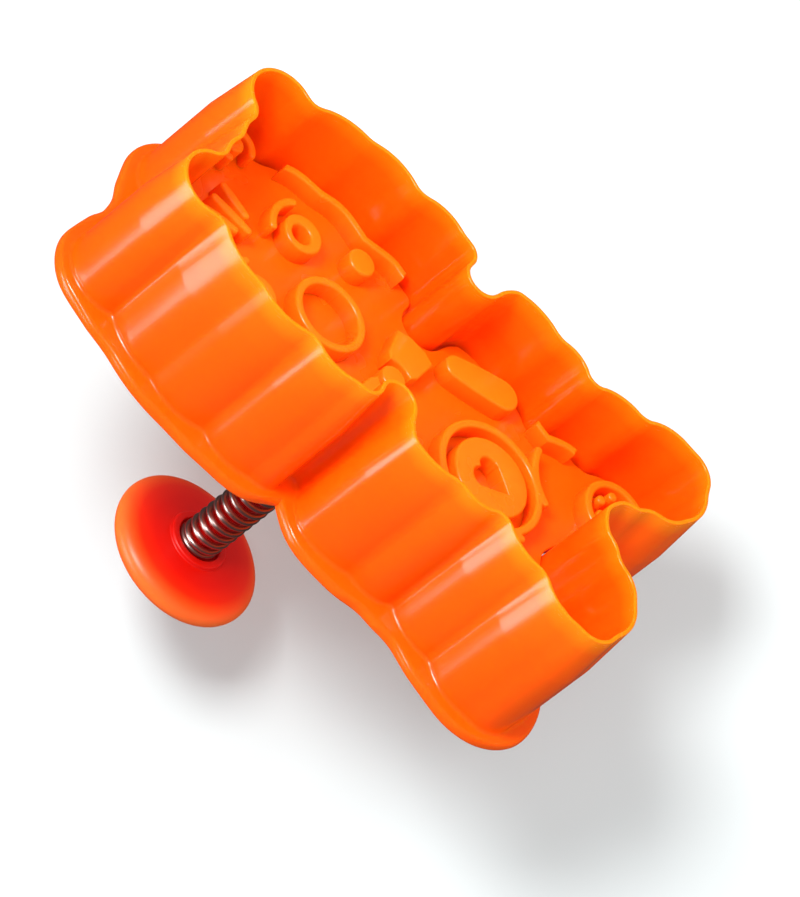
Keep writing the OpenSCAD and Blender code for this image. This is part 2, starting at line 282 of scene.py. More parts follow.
@dataclass(frozen=True)
class MouldedPlastic:
    """Glossy injection-moulded plastic, slightly translucent, with painted light and shade in its colour
    stops.

    Args:
        name: The material's name.
        tones: Stops of the colour, as a place from 0 to 1 and a linear colour, which paint light and shade
            along the moulding.
        along: What the tones follow.
        span: Its values in metres at the first and the last stop.
        roughness: Mean roughness of the polished surface.
        through: Subsurface weight.
        depth: Subsurface distance in metres.
        scuffed_below: Height under which the edge is lightly scuffed, or None.
    """

    name: str
    tones: tuple[tuple[float, tuple[float, float, float]], ...]
    along: Along
    span: Point2
    roughness: float
    through: float
    depth: float
    scuffed_below: float | None = None

    def material(self) -> bpy.types.Material:
        """Builds the material.

        Returns:
            The material.
        """
        made = bpy.data.materials.new(self.name)
        wiring = ShaderWiring(made)
        clouds = wiring.noise(70.0, 3.0)
        flow = wiring.noise(160.0, 2.0, (1.0, 1.0, 0.25))
        grain = wiring.noise(2600.0, 2.0)
        # The colour follows height or reach through the tone stops, which paint light and shade onto the
        # moulding.
        measure = wiring.height() if self.along is Along.HEIGHT else wiring.reach()
        low, high = self.span
        share = (measure - low) / (high - low) + (clouds - 0.5) * 0.08
        tone = wiring.node("ShaderNodeValToRGB", {"stops": self.tones}, {"Fac": share})
        polish = self.roughness + (flow - 0.5) * 0.10
        if self.scuffed_below is not None:
            edge = 1.0 - wiring.height().rising(0.0, self.scuffed_below)
            scratches = wiring.noise(900.0, 4.0, (1.0, 1.0, 6.0)).rising(0.48, 0.72)
            polish = polish + edge * scratches * 0.12
        shader = wiring.node(
            "ShaderNodeBsdfPrincipled",
            {"subsurface_method": "RANDOM_WALK"},
            {
                "Base Color": tone,
                "Roughness": polish.clamped(),
                "IOR": 1.46,
                "Subsurface Weight": self.through,
                "Subsurface Radius": (1.0, 0.3, 0.06),
                "Subsurface Scale": self.depth,
                "Normal": wiring.bump(flow * 0.8 + grain * 0.05, 0.00006),
            },
        )
        wiring.finish(shader)
        return made


@dataclass(frozen=True)
class BrightSteel:
    """Drawn or plated steel.

    Args:
        name: The material's name.
        colour: Linear reflectance.
        roughness: Mean roughness.
        streaks: Waves per metre of the drawing marks.
    """

    name: str
    colour: tuple[float, float, float]
    roughness: float
    streaks: float

    def material(self) -> bpy.types.Material:
        """Builds the material.

        Returns:
            The material.
        """
        made = bpy.data.materials.new(self.name)
        wiring = ShaderWiring(made)
        marks = wiring.noise(self.streaks, 3.0)
        tarnish = wiring.noise(240.0, 2.0).rising(0.45, 0.75)
        dull = tuple(0.72 * c for c in self.colour)
        shader = wiring.node(
            "ShaderNodeBsdfPrincipled",
            {},
            {
                "Base Color": wiring.blend(tarnish * 0.6, self.colour, dull),
                "Metallic": 1.0,
                "Roughness": (self.roughness + (marks - 0.5) * 0.12 + tarnish * 0.05).clamped(),
                "Normal": wiring.bump(marks, 0.00001),
            },
        )
        wiring.finish(shader)
        return made


# Mesh making

MITRE_LIMIT = 0.5
FOLD_TRIES = 60
FOLD_LIMIT = 0.05
FOLD_EASE = 0.85
GAP_SHARE = 0.42
BESIDE = range(-2, 3)
FILL_TOLERANCE = 1e-6
CROSSING_TRIES = 12
CROSSING_REACH = 0.5 * MM
CROSSING_EASE = 0.6
EDGE_STEPS = 4


def placed(name: str, data: bpy.types.ID) -> bpy.types.Object:
    """Puts a new object with its data into the scene."""
    made = bpy.data.objects.new(name, data)
    bpy.context.scene.collection.objects.link(made)
    return made


def corner_rounded(corners: Sequence[tuple[float, float, float]], steps: int = 6) -> list[Point2]:
    """Rounds a closed polygon's corners.

    Args:
        corners: Rows of x, y and the radius at that corner.
        steps: Segments along each rounding.

    Returns:
        The closed polygon with arcs at its corners.
    """
    points: list[Point2] = []
    count = len(corners)
    for number, (x, y, radius) in enumerate(corners):
        here = Vector((x, y))
        before = Vector(corners[number - 1][:2]) - here
        after = Vector(corners[(number + 1) % count][:2]) - here
        if radius <= 0 or before.length < WELD or after.length < WELD:
            points.append((x, y))
            continue
        before.normalize()
        after.normalize()
        half = math.acos(max(-1.0, min(1.0, before.dot(after)))) / 2
        if abs(half - math.pi / 2) < 0.01:
            points.append((x, y))
            continue
        bisector = (before + after).normalized()
        centre = here + bisector * (radius / math.sin(half))
        start = here + before * (radius / math.tan(half)) - centre
        end = here + after * (radius / math.tan(half)) - centre
        turn = math.atan2(start.x * end.y - start.y * end.x, start.dot(end))
        for step in range(steps + 1):
            angle = turn * step / steps
            spun = Vector(
                (
                    start.x * math.cos(angle) - start.y * math.sin(angle),
                    start.x * math.sin(angle) + start.y * math.cos(angle),
                )
            )
            points.append((centre.x + spun.x, centre.y + spun.y))
    return points


def drawn_out(points: Sequence[Point2], longest: float) -> list[Point2]:
    """Splits a closed polygon's sides that are longer than a limit.

    Args:
        points: The polygon.
        longest: The longest side that stays whole.

    Returns:
        The polygon with more points.
    """
    finer: list[Point2] = []
    for number, here in enumerate(points):
        there = points[(number + 1) % len(points)]
        parts = max(1, math.ceil(math.dist(here, there) / longest))
        for part in range(parts):
            share = part / parts
            finer.append((here[0] + (there[0] - here[0]) * share, here[1] + (there[1] - here[1]) * share))
    return finer


def mesh_object(name: str, vertices: np.ndarray, faces: Sequence[Sequence[int]]) -> bpy.types.Object:
    """Makes a closed, outward-facing object at the origin.

    Args:
        name: The object's name.
        vertices: Places, one row each.
        faces: Vertex numbers of each face.

    Returns:
        The object.
    """
    mesh = bpy.data.meshes.new(name)
    mesh.from_pydata([tuple(map(float, v)) for v in vertices], [], [tuple(map(int, f)) for f in faces])
    tidy_mesh(mesh)
    return placed(name, mesh)


def tidy_mesh(mesh: bpy.types.Mesh) -> None:
    """Merges doubles and turns every face outwards."""
    work = bmesh.new()
    work.from_mesh(mesh)
    bmesh.ops.remove_doubles(work, verts=work.verts, dist=WELD * 10)
    bmesh.ops.dissolve_degenerate(work, edges=work.edges, dist=WELD)
    bmesh.ops.recalc_face_normals(work, faces=work.faces)
    work.to_mesh(mesh)
    work.free()


def smoothed(made: bpy.types.Object, angle: float = 32.0) -> bpy.types.Object:
    """Shades an object smooth, apart from edges sharper than an angle in degrees."""
    made.data.shade_smooth()
    made.data.set_sharp_from_angle(angle=math.radians(angle))
    return made


def between(count: int, low: int, high: int) -> list[tuple[int, ...]]:
    """The faces between two rings of equal count, which start at two vertex numbers."""
    return [(low + i, low + (i + 1) % count, high + (i + 1) % count, high + i) for i in range(count)]


def lofted(name: str, rings: Sequence[np.ndarray]) -> bpy.types.Object:
    """Joins closed rings of equal count in order, the last to the first.

    Args:
        name: The object's name.
        rings: Rings of places, each of shape (n, 3).

    Returns:
        The object.
    """
    count = len(rings[0])
    faces: list[tuple[int, ...]] = []
    for number in range(len(rings)):
        faces.extend(between(count, number * count, ((number + 1) % len(rings)) * count))
    return mesh_object(name, np.concatenate(rings), faces)


def lathed(name: str, section: Sequence[Point2], steps: int = 128) -> bpy.types.Object:
    """Turns a closed section about the z axis.

    Args:
        name: The object's name.
        section: Closed polygon of radius and height.
        steps: Segments round the axis.

    Returns:
        The object.
    """
    angles = np.linspace(0.0, 2 * math.pi, steps, endpoint=False)
    rings = []
    for radius, height in section:
        ring = np.stack([radius * np.cos(angles), radius * np.sin(angles), np.full(steps, height)], axis=1)
        rings.append(ring)
    return lofted(name, rings)


def signed_area(loop: np.ndarray) -> float:
    """Twice a closed loop's area, negative where it runs clockwise."""
    after = np.roll(loop, -1, axis=0)
    return float(np.sum(loop[:, 0] * after[:, 1] - after[:, 0] * loop[:, 1]))


def inward_of(loop: np.ndarray, side: float) -> np.ndarray:
    """Mitred steps into the solid beside a loop.

    Args:
        loop: The loop, of shape (n, 2).
        side: 1 where the solid lies left of the loop, and -1 where it lies right.

    Returns:
        For each point, the step that moves both of its sides inwards by one.
    """
    along = np.roll(loop, -1, axis=0) - loop
    along /= np.linalg.norm(along, axis=1)[:, None]
    after = side * np.stack([-along[:, 1], along[:, 0]], axis=1)
    before = np.roll(after, 1, axis=0)
    spread = 1.0 + np.sum(before * after, axis=1)
    return (before + after) / np.maximum(spread, MITRE_LIMIT)[:, None]


def unfolded(loop: np.ndarray, inward: np.ndarray, room: np.ndarray) -> np.ndarray:
    """Shortens the moves that would turn a side of a loop back on itself.

    Args:
        loop: The loop, of shape (n, 2).
        inward: The step of each point.
        room: How far each point would move.

    Returns:
        The distances with no side turned back.
    """
    before = np.roll(loop, -1, axis=0) - loop
    for _ in range(FOLD_TRIES):
        moved = loop + inward * room[:, None]
        after = np.roll(moved, -1, axis=0) - moved
        folded = np.sum(before * after, axis=1) < FOLD_LIMIT * np.sum(before * before, axis=1)
        if not folded.any():
            break
        room = np.where(folded | np.roll(folded, 1), FOLD_EASE * room, room)
    return room


def room_inside(loops: Sequence[np.ndarray], steps: Sequence[np.ndarray], most: float) -> list[np.ndarray]:
    """How far each point of a solid's edge can move in before the solid grows thin.

    Args:
        loops: The solid's closed loops.
        steps: The inward steps of each loop.
        most: The furthest that any point moves.

    Returns:
        The distances, one array for each loop.
    """
    starts = np.concatenate(loops)
    ends = np.concatenate([np.roll(loop, -1, axis=0) for loop in loops])
    edges = ends - starts
    rooms = []
    for loop, inward in zip(loops, steps):
        room = np.full(len(loop), most)
        for number, (spot, step) in enumerate(zip(loop, inward)):
            gap = starts - spot
            cross = step[0] * edges[:, 1] - step[1] * edges[:, 0]
            cross = np.where(np.abs(cross) < WELD**2, np.inf, cross)
            ahead = (gap[:, 0] * edges[:, 1] - gap[:, 1] * edges[:, 0]) / cross
            share = (gap[:, 0] * step[1] - gap[:, 1] * step[0]) / cross
            hits = ahead[(share >= 0) & (share <= 1) & (ahead > 20 * WELD)]
            if len(hits):
                room[number] = min(most, GAP_SHARE * float(hits.min()))
        least = np.min([np.roll(room, k) for k in BESIDE], axis=0)
        rooms.append(unfolded(loop, inward, np.mean([np.roll(least, k) for k in BESIDE], axis=0)))
    return rooms


def filled(loops: Sequence[np.ndarray]) -> tuple[np.ndarray, list[tuple[int, ...]]]:
    """Fills the space between loops with triangles, by the even-odd rule.

    Args:
        loops: Closed loops of shape (n, 2).

    Returns:
        Points where loops cross, and triangles. These number the loops' points, then the crossings.
    """
    starts = np.concatenate(loops)
    ends = np.concatenate([np.roll(loop, -1, axis=0) for loop in loops])
    firsts = np.cumsum([0, *(len(loop) for loop in loops)])
    sides = [
        (int(first + i), int(first + (i + 1) % len(loop)))
        for first, loop in zip(firsts, loops)
        for i in range(len(loop))
    ]
    in_mm = [Vector(spot / MM) for spot in starts]
    spots, _, triangles, sources, _, _ = delaunay_2d_cdt(in_mm, sides, [], 0, FILL_TOLERANCE)
    places = np.array([tuple(spot) for spot in spots]) * MM
    crossings = [i for i, source in enumerate(sources) if not source]
    numbers = [source[0] if source else 0 for source in sources]
    for extra, i in enumerate(crossings):
        numbers[i] = len(starts) + extra
    kept = []
    for triangle in triangles:
        x, y = places[list(triangle)].mean(axis=0)
        spans = (starts[:, 1] > y) != (ends[:, 1] > y)
        low, high = starts[spans], ends[spans]
        met = low[:, 0] + (y - low[:, 1]) / (high[:, 1] - low[:, 1]) * (high[:, 0] - low[:, 0])
        if np.count_nonzero(met > x) % 2:
            kept.append(tuple(numbers[i] for i in triangle))
    return places[crossings], kept


def uncrossed(
    loops: Sequence[np.ndarray], steps: Sequence[np.ndarray], rooms: Sequence[np.ndarray]
) -> list[np.ndarray]:
    """Shortens the moves beside places where the moved loops would cross.

    Args:
        loops: The solid's closed loops.
        steps: The inward steps of each loop.
        rooms: How far each point would move.

    Returns:
        The distances with no crossing left, or few once the tries are used up.
    """
    rooms = [room.copy() for room in rooms]
    for _ in range(CROSSING_TRIES):
        crossings, _ = filled([loop + step * room[:, None] for loop, step, room in zip(loops, steps, rooms)])
        if not len(crossings):
            break
        for loop, room in zip(loops, rooms):
            away = np.linalg.norm(loop[:, None] - crossings[None], axis=2).min(axis=1)
            room[away < CROSSING_REACH] *= CROSSING_EASE
    return rooms


def slab(
    name: str, loops: Sequence[np.ndarray], low: float, high: float, edge: float, round_high: bool = True
) -> bpy.types.Object:
    """A flat solid with rounded edges, from closed loops that may hold holes.

    Args:
        name: The object's name.
        loops: Closed loops in the xy plane with the solid on the same side of each, the widest first.
        low: Height of the lower face.
        high: Height of the upper face.
        edge: Radius of the rounded edges.
        round_high: Whether the upper edges are rounded as the lower ones are.

    Returns:
        The object.
    """
    side = 1.0 if signed_area(loops[0]) > 0 else -1.0
    steps = [inward_of(loop, side) for loop in loops]
    rooms = uncrossed(loops, steps, room_inside(loops, steps, edge))
    turns = [math.radians(90 * k / EDGE_STEPS) for k in range(EDGE_STEPS + 1)]
    profile = [(1 - math.sin(turn), low + edge * (1 - math.cos(turn))) for turn in turns]
    if round_high:
        profile += [(share, low + high - height) for share, height in reversed(profile)]
    else:
        profile.append((0.0, high))
    vertices: list[np.ndarray] = []
    faces: list[tuple[int, ...]] = []
    rings: dict[int, list[np.ndarray]] = {0: [], len(profile) - 1: []}
    ring_numbers: dict[int, list[int]] = {0: [], len(profile) - 1: []}
    done = 0
    for loop, step, room in zip(loops, steps, rooms):
        count = len(loop)
        for ring, (share, height) in enumerate(profile):
            moved = loop + step * (room * share)[:, None]
            vertices.append(np.column_stack([moved, np.full(count, height)]))
            here = done + ring * count
            if ring in rings:
                rings[ring].append(moved)
                ring_numbers[ring].extend(range(here, here + count))
            if ring + 1 < len(profile):
                faces.extend(between(count, here, here + count))
        done += len(profile) * count
    for ring, edges in rings.items():
        crossings, triangles = filled(edges)
        ring_numbers[ring].extend(range(done, done + len(crossings)))
        done += len(crossings)
        vertices.append(np.column_stack([crossings, np.full(len(crossings), profile[ring][1])]))
        faces.extend(tuple(ring_numbers[ring][corner] for corner in triangle) for triangle in triangles)
    return mesh_object(name, np.concatenate(vertices), faces)


def joined(name: str, parts: Sequence[bpy.types.Object]) -> bpy.types.Object:
    """Puts several closed meshes into one object.

    Args:
        name: The new object's name.
        parts: Objects at the origin, which are used up.

    Returns:
        The object.
    """
    work = bmesh.new()
    for part in parts:
        work.from_mesh(part.data)
        old = part.data
        bpy.data.objects.remove(part)
        bpy.data.meshes.remove(old)
    mesh = bpy.data.meshes.new(name)
    work.to_mesh(mesh)
    work.free()
    return placed(name, mesh)


# Loops read from the frame


def plane_loops(node: str, height: float) -> list[np.ndarray]:
    """The closed edges of a node's flat faces at one height.

    Args:
        node: Name of the node.
        height: The plane's z.

    Returns:
        Loops of shape (n, 2), the widest first.
    """
    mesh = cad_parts[node].data
    mesh.calc_loop_triangles()
    places = np.empty(len(mesh.vertices) * 3, np.float32)
    mesh.vertices.foreach_get("co", places)
    places = places.reshape(-1, 3)
    triangles = np.empty(len(mesh.loop_triangles) * 3, np.int32)
    mesh.loop_triangles.foreach_get("vertices", triangles)
    triangles = triangles.reshape(-1, 3)
    flat = np.all(np.abs(places[triangles][:, :, 2] - height) < 20 * WELD, axis=1)
    seen: dict[tuple[int, int], int] = {}
    spots: list[tuple[float, float]] = []
    number = np.empty(len(places), np.int64)
    for index in np.unique(triangles[flat]):
        key = (round(float(places[index, 0]) / (5 * WELD)), round(float(places[index, 1]) / (5 * WELD)))
        if key not in seen:
            seen[key] = len(spots)
            spots.append((float(places[index, 0]), float(places[index, 1])))
        number[index] = seen[key]
    directed = set()
    for a, b, c in triangles[flat]:
        corners = (number[a], number[b], number[c])
        for first, second in zip(corners, corners[1:] + corners[:1]):
            directed.add((int(first), int(second)))
    following: dict[int, int] = {a: b for a, b in directed if (b, a) not in directed}
    loops = []
    while following:
        start, here = next(iter(following.items()))
        del following[start]
        loop = [start]
        while here != start and here in following:
            loop.append(here)
            here = following.pop(here)
        if here == start and len(loop) > 2:
            loops.append(np.array([spots[i] for i in loop]))
    return sorted(loops, key=lambda loop: -float(np.ptp(loop[:, 0]) * np.ptp(loop[:, 1])))


def from_crown(loop: np.ndarray) -> np.ndarray:
    """Turns a mirror-symmetric loop so that it starts at the crown and runs clockwise."""
    crown = max(range(len(loop)), key=lambda i: loop[i, 1] - 1e3 * abs(loop[i, 0]))
    loop = np.roll(loop, -crown, axis=0)
    if loop[1, 0] < 0:
        loop = np.roll(loop[::-1], 1, axis=0)
    return loop


def spaced(loop: np.ndarray, least: float) -> np.ndarray:
    """Drops a closed loop's points that lie nearer than a limit to the one before them."""
    kept = [loop[0]]
    for spot in loop[1:]:
        if math.dist(spot, kept[-1]) >= least:
            kept.append(spot)
    if math.dist(kept[-1], kept[0]) < least:
        kept.pop()
    return np.array(kept)


def finer(loop: np.ndarray, factor: int, corner: float = 180.0) -> np.ndarray:
    """Draws a closed loop through its points with more points between them.

    Args:
        loop: The loop.
        factor: Points drawn for each given one.
        corner: Turn in degrees above which a point stays a sharp corner.

    Returns:
        The finer loop.
    """
    before = np.roll(loop, 1, axis=0)
    after = np.roll(loop, -1, axis=0)
    into = loop - before
    out = after - loop
    leaving = np.arctan2(out[:, 1], out[:, 0])
    arriving = np.arctan2(into[:, 1], into[:, 0])
    turn = np.abs(np.angle(np.exp(1j * (leaving - arriving))))
    sharp = turn > math.radians(corner)
    steps = np.linalg.norm(out, axis=1)[:, None]
    steps_in = np.linalg.norm(into, axis=1)[:, None]
    slope = (into / steps_in * steps + out / steps * steps_in) / (steps + steps_in)
    slope /= np.linalg.norm(slope, axis=1)[:, None]
    leave = np.where(sharp[:, None], out / steps, slope) * steps
    arrive = np.where(sharp[:, None], into / steps_in, slope)
    arrive = np.roll(arrive, -1, axis=0) * steps
    rows = []
    for part in range(factor):
        t = part / factor
        rows.append(
            (2 * t**3 - 3 * t**2 + 1) * loop
            + (t**3 - 2 * t**2 + t) * leave
            + (3 * t**2 - 2 * t**3) * after
            + (t**3 - t**2) * arrive
        )
    return np.stack(rows, axis=1).reshape(-1, 2)


def outward_of(loop: np.ndarray) -> np.ndarray:
    """Unit normals of a clockwise loop, pointing out of it."""
    along = np.roll(loop, -1, axis=0) - np.roll(loop, 1, axis=0)
    normal = np.stack([-along[:, 1], along[:, 0]], axis=1)
    return normal / np.linalg.norm(normal, axis=1)[:, None]


# Pieces


@dataclass
class CutterShell:
    """The wall, flange, bridge and guide, one moulding."""

    wall_h: float = 27 * MM
    wall_t: float = 1.7 * MM
    edge_t: float = 0.6 * MM
    taper_h: float = 10 * MM
    draft: float = 0.12 * MM
    flange_w: float = 3.0 * MM
    flange_t: float = 2.0 * MM
    flange_chamfer: float = 0.5 * MM
    bridge_w: float = 12 * MM
    bridge_t: float = 2.4 * MM
    bridge_drop: float = 0.5 * MM
    rib_t: float = 1.4 * MM
    guide_r: float = 4.6 * MM
    guide_len: float = 7 * MM
    collar_h: float = 1.5 * MM
    seat_r: float = 3.6 * MM
    seat_depth: float = 4 * MM
    bore_r: float = 2.08 * MM
    bridge_edge: float = 0.35 * MM
    rib_edge: float = 0.2 * MM
    rib_lift: float = 0.3 * MM
    rib_bite: float = 0.5 * MM
    station: float = 0.4 * MM
    finesse: int = 3

    def wall_loop(self) -> np.ndarray:
        """The outer face's outline."""
        return self._levels()[1]

    def _levels(self) -> tuple[np.ndarray, np.ndarray]:
        """The flange's and the wall's loops under the flange."""
        loops = plane_loops("cutter_shell", self.wall_h - self.flange_t)
        flange, wall = (finer(from_crown(loop), self.finesse) for loop in loops[:2])
        return flange, wall

    def section(self) -> list[Point2]:
        """The moulding's cross-section.

        Returns:
            Points of reach outside the wall's face, negative inside it, and height.
        """
        inside = -self.wall_t
        corners = [
            (inside + self.edge_t, 0.0, 0.2 * MM),
            (-self.draft, self.taper_h, 7 * MM),
            (0.0, self.wall_h - self.flange_t, 0.8 * MM),
            (self.flange_w, self.wall_h - self.flange_t, 0.85 * MM),
            (self.flange_w, self.wall_h, 0.85 * MM),
            (inside, self.wall_h, 0.4 * MM),
            (inside, 0.0, 0.2 * MM),
        ]
        return drawn_out(corner_rounded(corners), 1.6 * MM)

    def wall_mesh(self) -> bpy.types.Object:
        """The wall with its flange.

        Returns:
            The object.
        """
        flange, wall = self._levels()
        outward = outward_of(wall)
        spread = (flange - wall) / (self.flange_w - self.flange_chamfer)
        rings = []
        for reach, height in self.section():
            flat = wall + reach * (outward if reach < 0 else spread)
            rings.append(np.column_stack([flat, np.full(len(flat), height)]))
        return lofted("wall_and_flange", rings)

    def across(self, width: float, low: float, high: float, edge: float) -> bpy.types.Object:
        """A band from the middle of one wall to the middle of the other.

        Args:
            width: The band's width along y.
            low: Its lower height.
            high: Its upper height.
            edge: Radius of its edges.

        Returns:
            The object.
        """
        wall = self.wall_loop()
        middle = wall - outward_of(wall) * self.wall_t / 2
        side = middle[(middle[:, 0] > 0) & (np.abs(middle[:, 1]) < width)]
        half = width / 2
        turns = np.radians(np.linspace(0, 90, EDGE_STEPS + 1))
        nose = half - edge * (1 - np.sin(turns))
        straight = half - edge
        inner = np.linspace(-straight, straight, 2 + round(2 * straight / self.station))[1:-1]
        places = np.concatenate([-nose[::-1], inner, nose])
        rings = []
        for y in places:
            x = side[np.abs(side[:, 1] - y) < self.wall_t / 2, 0].min()
            past = max(0.0, abs(y) - straight)
            cut = edge - math.sqrt(max(0.0, edge**2 - past**2))
            rings.append([(-x, y, low + cut), (x, y, low + cut), (x, y, high - cut), (-x, y, high - cut)])
        faces: list[Sequence[int]] = [(3, 2, 1, 0), tuple(range(4 * len(rings) - 4, 4 * len(rings)))]
        for start in range(0, 4 * len(rings) - 4, 4):
            faces.extend(between(4, start, start + 4))
        return mesh_object("band", np.concatenate(rings), faces)

    def guide(self) -> bpy.types.Object:
        """The tube that the stem slides in, with the spring's seat."""
        low = self.wall_h - self.guide_len
        high = self.wall_h + self.collar_h
        seat = high - self.seat_depth
        corners = [
            (self.bore_r, low, 0.25 * MM),
            (self.guide_r, low, 0.4 * MM),
            (self.guide_r, high, 0.35 * MM),
            (self.seat_r, high, 0.25 * MM),
            (self.seat_r, seat, 0.2 * MM),
            (self.bore_r, seat, 0.15 * MM),
        ]
        return lathed("guide", corner_rounded(corners))

    def collar_fillet(self) -> bpy.types.Object:
        """The rounding where the guide's collar rises from the bridge."""
        top = self.wall_h - self.bridge_drop
        r = 0.8 * MM
        arc = [
            (self.guide_r + r - r * math.cos(a), top + r - r * math.sin(a))
            for a in (math.radians(90 * k / 6) for k in range(7))
        ]
        core = self.guide_r - 0.3 * MM
        under = top - 0.2 * MM
        return lathed("collar_fillet", [*arc, (self.guide_r + r, under), (core, under), (core, top + r)])

    def build(self, material: bpy.types.Material) -> bpy.types.Object:
        """Builds and dresses the shell.

        Args:
            material: Its plastic.

        Returns:
            The object.
        """
        bridge_top = self.wall_h - self.bridge_drop
        bridge_low = bridge_top - self.bridge_t
        rib_low = self.wall_h - self.guide_len + self.rib_lift
        parts = [
            self.wall_mesh(),
            self.across(self.bridge_w, bridge_low, bridge_top, self.bridge_edge),
            self.across(self.rib_t, rib_low, bridge_low + self.rib_bite, self.rib_edge),
            self.guide(),
            self.collar_fillet(),
        ]
        shell = smoothed(joined("cutter_shell_moulding", parts), 40.0)
        shell.data.materials.append(material)
        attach(shell, Body.CUTTER.value)
        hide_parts("cutter_shell")
        return shell


@dataclass
class StampPlate:
    """The plate with the relief on its front and ribs and a boss on its back."""

    depth: float = 11 * MM
    relief_h: float = 3.0 * MM
    plate_t: float = 2.0 * MM
    rib_h: float = 2.0 * MM
    rib_t: float = 1.4 * MM
    spine: float = 61.33 * MM
    cross: float = 20 * MM
    boss_r: float = 4.2 * MM
    boss_top: float = 19.7 * MM
    stem_r: float = 2.0 * MM
    speck: float = 0.9 * MM
    least_side: float = 0.06 * MM
    snug: float = 0.25 * MM
    crotch_x: float = 9.0 * MM
    crotch_y: float = -28.0 * MM
    relief_edge: float = 0.42 * MM
    edge: float = 0.3 * MM
    sunk: float = 0.4 * MM

    def relief(self) -> bpy.types.Object:
        """The raised lines and pads, with softly rounded edges."""
        loops = [
            finer(spaced(loop, self.least_side), 3, 24.0)
            for loop in plane_loops("stamp_plate", self.depth)
            if min(np.ptp(loop, axis=0)) > self.speck
        ]
        top = self.depth + self.relief_h + self.sunk
        return slab("relief", loops, self.depth, top, self.relief_edge, False)

    def plate(self) -> bpy.types.Object:
        """The plate itself."""
        low = self.depth + self.relief_h
        edge = finer(from_crown(plane_loops("stamp_plate", low)[0]), 3, 60.0)
        across = np.clip((self.crotch_x - np.abs(edge[:, 0])) / MM, 0, 1)
        along = np.clip((self.crotch_y - edge[:, 1]) / MM, 0, 1)
        edge += outward_of(edge) * (self.snug * (across * along))[:, None]
        return slab("plate", [edge], low, low + self.plate_t, self.edge)

    def back(self) -> list[bpy.types.Object]:
        """The ribs and the boss on the plate's back."""
        base = self.depth + self.relief_h + self.plate_t
        sunk = base - self.sunk

        def bar(long: float, wide: float) -> np.ndarray:
            return np.array([(-long, -wide), (long, -wide), (long, wide), (-long, wide)]) / 2

        boss = [
            (self.stem_r, sunk, 0),
            (self.boss_r + 0.7 * MM, sunk, 0),
            (self.boss_r + 0.7 * MM, base, 0),
            (self.boss_r, base, 0.6 * MM),
            (self.boss_r, self.boss_top, 0.4 * MM),
            (self.stem_r, self.boss_top, 0.2 * MM),
        ]
        return [
            slab("spine", [bar(self.rib_t, self.spine)], sunk, base + self.rib_h, self.edge),
            slab("cross_rib", [bar(self.cross, self.rib_t)], sunk, base + self.rib_h, self.edge),
            lathed("boss", corner_rounded(boss), 96),
        ]

    def build(self, material: bpy.types.Material) -> bpy.types.Object:
        """Builds and dresses the plate.

        Args:
            material: Its plastic.

        Returns:
            The object.
        """
        plate = smoothed(joined("stamp_plate_moulding", [self.relief(), self.plate(), *self.back()]), 40.0)
        plate.data.materials.append(material)
        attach(plate, Body.PLUNGER.value)
        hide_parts("stamp_plate")
        return plate


@dataclass
class PlungerStem:
    """The stem between the plate's boss and the knob."""

    radius: float = 2.0 * MM
    pilot_r: float = 1.1 * MM
    chamfer: float = 0.3 * MM

    def build(self, material: bpy.types.Material) -> bpy.types.Object:
        """Builds and dresses the stem.

        Args:
            material: Its plastic.

        Returns:
            The object.
        """
        low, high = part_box("plunger_stem")
        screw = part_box("knob_screw")[0].z
        corners = [
            (0.0, low.z, 0),
            (self.radius, low.z, self.chamfer),
            (self.radius, high.z, 0.1 * MM),
            (self.pilot_r, high.z, 0),
            (self.pilot_r, screw, 0),
            (0.0, screw, 0),
        ]
        stem = smoothed(lathed("plunger_stem_rod", drawn_out(corner_rounded(corners), 3 * MM), 64))
        stem.data.materials.append(material)
        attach(stem, Body.PLUNGER.value)
        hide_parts("plunger_stem")
        return stem


